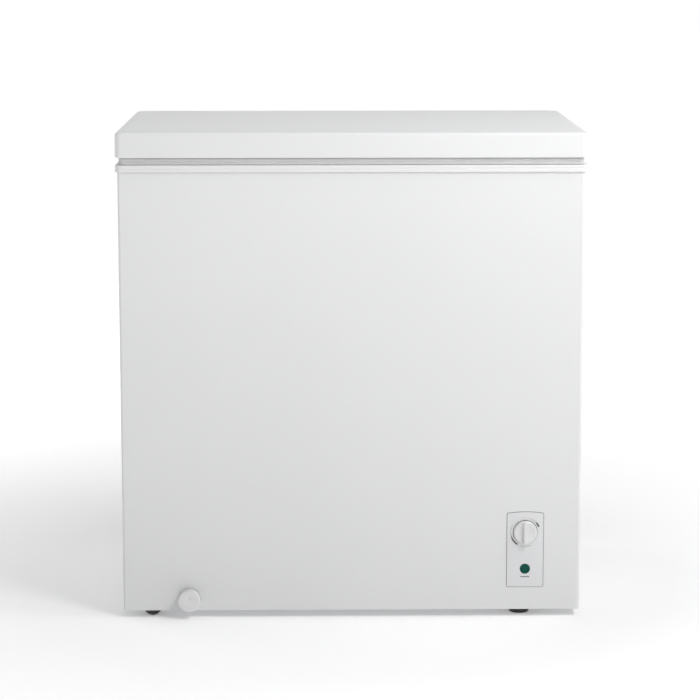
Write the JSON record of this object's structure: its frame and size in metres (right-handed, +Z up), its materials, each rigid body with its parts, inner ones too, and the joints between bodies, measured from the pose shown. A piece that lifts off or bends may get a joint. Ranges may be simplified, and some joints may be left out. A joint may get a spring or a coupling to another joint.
{
  "type": "chest freezer",
  "caption": "White chest freezer with a spring-hinged top lid, front thermostat panel, pull-out drain dial, liner cavity, compressor bay, sliding basket, rollers and feet.",
  "frame": {"origin": "on the floor under the middle of the cabinet", "axes": "+X to the right seen from the front, +Y to the back, +Z up"},
  "size_m": [0.806, 0.5554, 0.85],
  "materials": {
    "painted_steel": "gloss",
    "coated_sheet": "satin",
    "rim_plastic": "satin",
    "white_plastic": "gloss",
    "gasket_vinyl": "matte",
    "foam": "matte",
    "lens_green": "gloss",
    "black_plastic": "satin",
    "thermostat_metal": "satin",
    "zinc_steel": "satin",
    "spring_steel": "satin",
    "black_enamel": "satin",
    "cast_motor": "matte",
    "black_rubber": "matte",
    "roller_nylon": "satin",
    "copper": "satin",
    "aluminium_tube": "satin",
    "wire_sheath": "matte",
    "basket_coating": "satin"
  },
  "bodies": {
    "cabinet": {"outer_shell": "painted_steel", "rear_panel": "coated_sheet", "base_panel": "coated_sheet", "rim_collar": "rim_plastic", "inner_liner": "coated_sheet", "foam_body": "foam", "evaporator_coil": "aluminium_tube", "condenser_coil": "copper", "drain_pipe": "rim_plastic", "drain_bush": "rim_plastic", "control_panel": "rim_plastic", "thermostat_body": "thermostat_metal", "indicator_lens": "lens_green", "lamp_holder": "white_plastic", "sensor_tube": "copper", "compressor_tray": "zinc_steel", "compressor_lower_shell": "black_enamel", "compressor_upper_shell": "black_enamel", "compressor_pump": "cast_motor", "compressor_grommets": "black_rubber", "compressor_bolts": "zinc_steel", "relay_box": "black_plastic", "discharge_tube": "copper", "suction_tube": "copper", "process_tube": "copper", "filter_drier": "copper", "capillary_tube": "copper", "wiring_harness": "wire_sheath", "cord_gland": "black_plastic", "rear_cover": "coated_sheet", "cover_screws": "zinc_steel", "base_screws": "zinc_steel", "roller_housing_front": "zinc_steel", "roller_housing_rear": "zinc_steel", "roller_axle_front": "zinc_steel", "roller_axle_rear": "zinc_steel", "foot_front_right": "black_plastic", "foot_rear_right": "black_plastic", "hinge_base_left": "painted_steel", "hinge_base_right": "painted_steel", "hinge_pin_left": "zinc_steel", "hinge_pin_right": "zinc_steel", "hinge_springs": "spring_steel", "hinge_screws": "zinc_steel"},
    "lid": {"lid_skin": "painted_steel", "lid_liner": "rim_plastic", "lid_foam": "foam", "lid_gasket": "gasket_vinyl", "lid_screws": "zinc_steel", "hinge_arm_left": "painted_steel", "hinge_arm_right": "painted_steel"},
    "thermostat_knob": {"thermostat_knob": "white_plastic", "thermostat_spindle": "thermostat_metal"},
    "drain_seal": {"drain_o_ring": "black_rubber"},
    "drain_dial": {"drain_dial": "white_plastic"},
    "drain_plug": {"drain_plug": "white_plastic"},
    "basket": {"basket": "basket_coating"},
    "roller_front": {"roller_front": "roller_nylon"},
    "roller_rear": {"roller_rear": "roller_nylon"}
  },
  "joints": [
    {"name": "lid_hinge", "type": "hinge", "parent": "cabinet", "child": "lid", "pos_m": [0, 0.27, 0.798], "axis": [-1, 0, 0], "range_deg": [0, 80], "deforming": ["hinge_springs"]},
    {"name": "thermostat_turn", "type": "hinge", "parent": "cabinet", "child": "thermostat_knob", "pos_m": [0.303, -0.2574, 0.1515], "axis": [0, 1, 0], "range_deg": [-135, 135]},
    {"name": "drain_pull", "type": "slide", "parent": "cabinet", "child": "drain_seal", "axis": [0, -1, 0], "range_m": [0, 0.02]},
    {"name": "drain_turn", "type": "hinge", "parent": "drain_seal", "child": "drain_dial", "pos_m": [-0.283, -0.258, 0.034], "axis": [0, 1, 0], "range_deg": [0, 180]},
    {"name": "drain_plug_lift", "type": "slide", "parent": "cabinet", "child": "drain_plug", "axis": [0, 0, 1], "range_m": [0, 0.03]},
    {"name": "basket_slide", "type": "slide", "parent": "cabinet", "child": "basket", "axis": [-1, 0, 0], "range_m": [0, 0.46]},
    {"name": "roller_front_spin", "type": "hinge", "parent": "cabinet", "child": "roller_front", "pos_m": [-0.349, -0.233, 0.016], "axis": [0, 1, 0], "continuous": true},
    {"name": "roller_rear_spin", "type": "hinge", "parent": "cabinet", "child": "roller_rear", "pos_m": [-0.349, 0.233, 0.016], "axis": [0, 1, 0], "continuous": true}
  ]
}
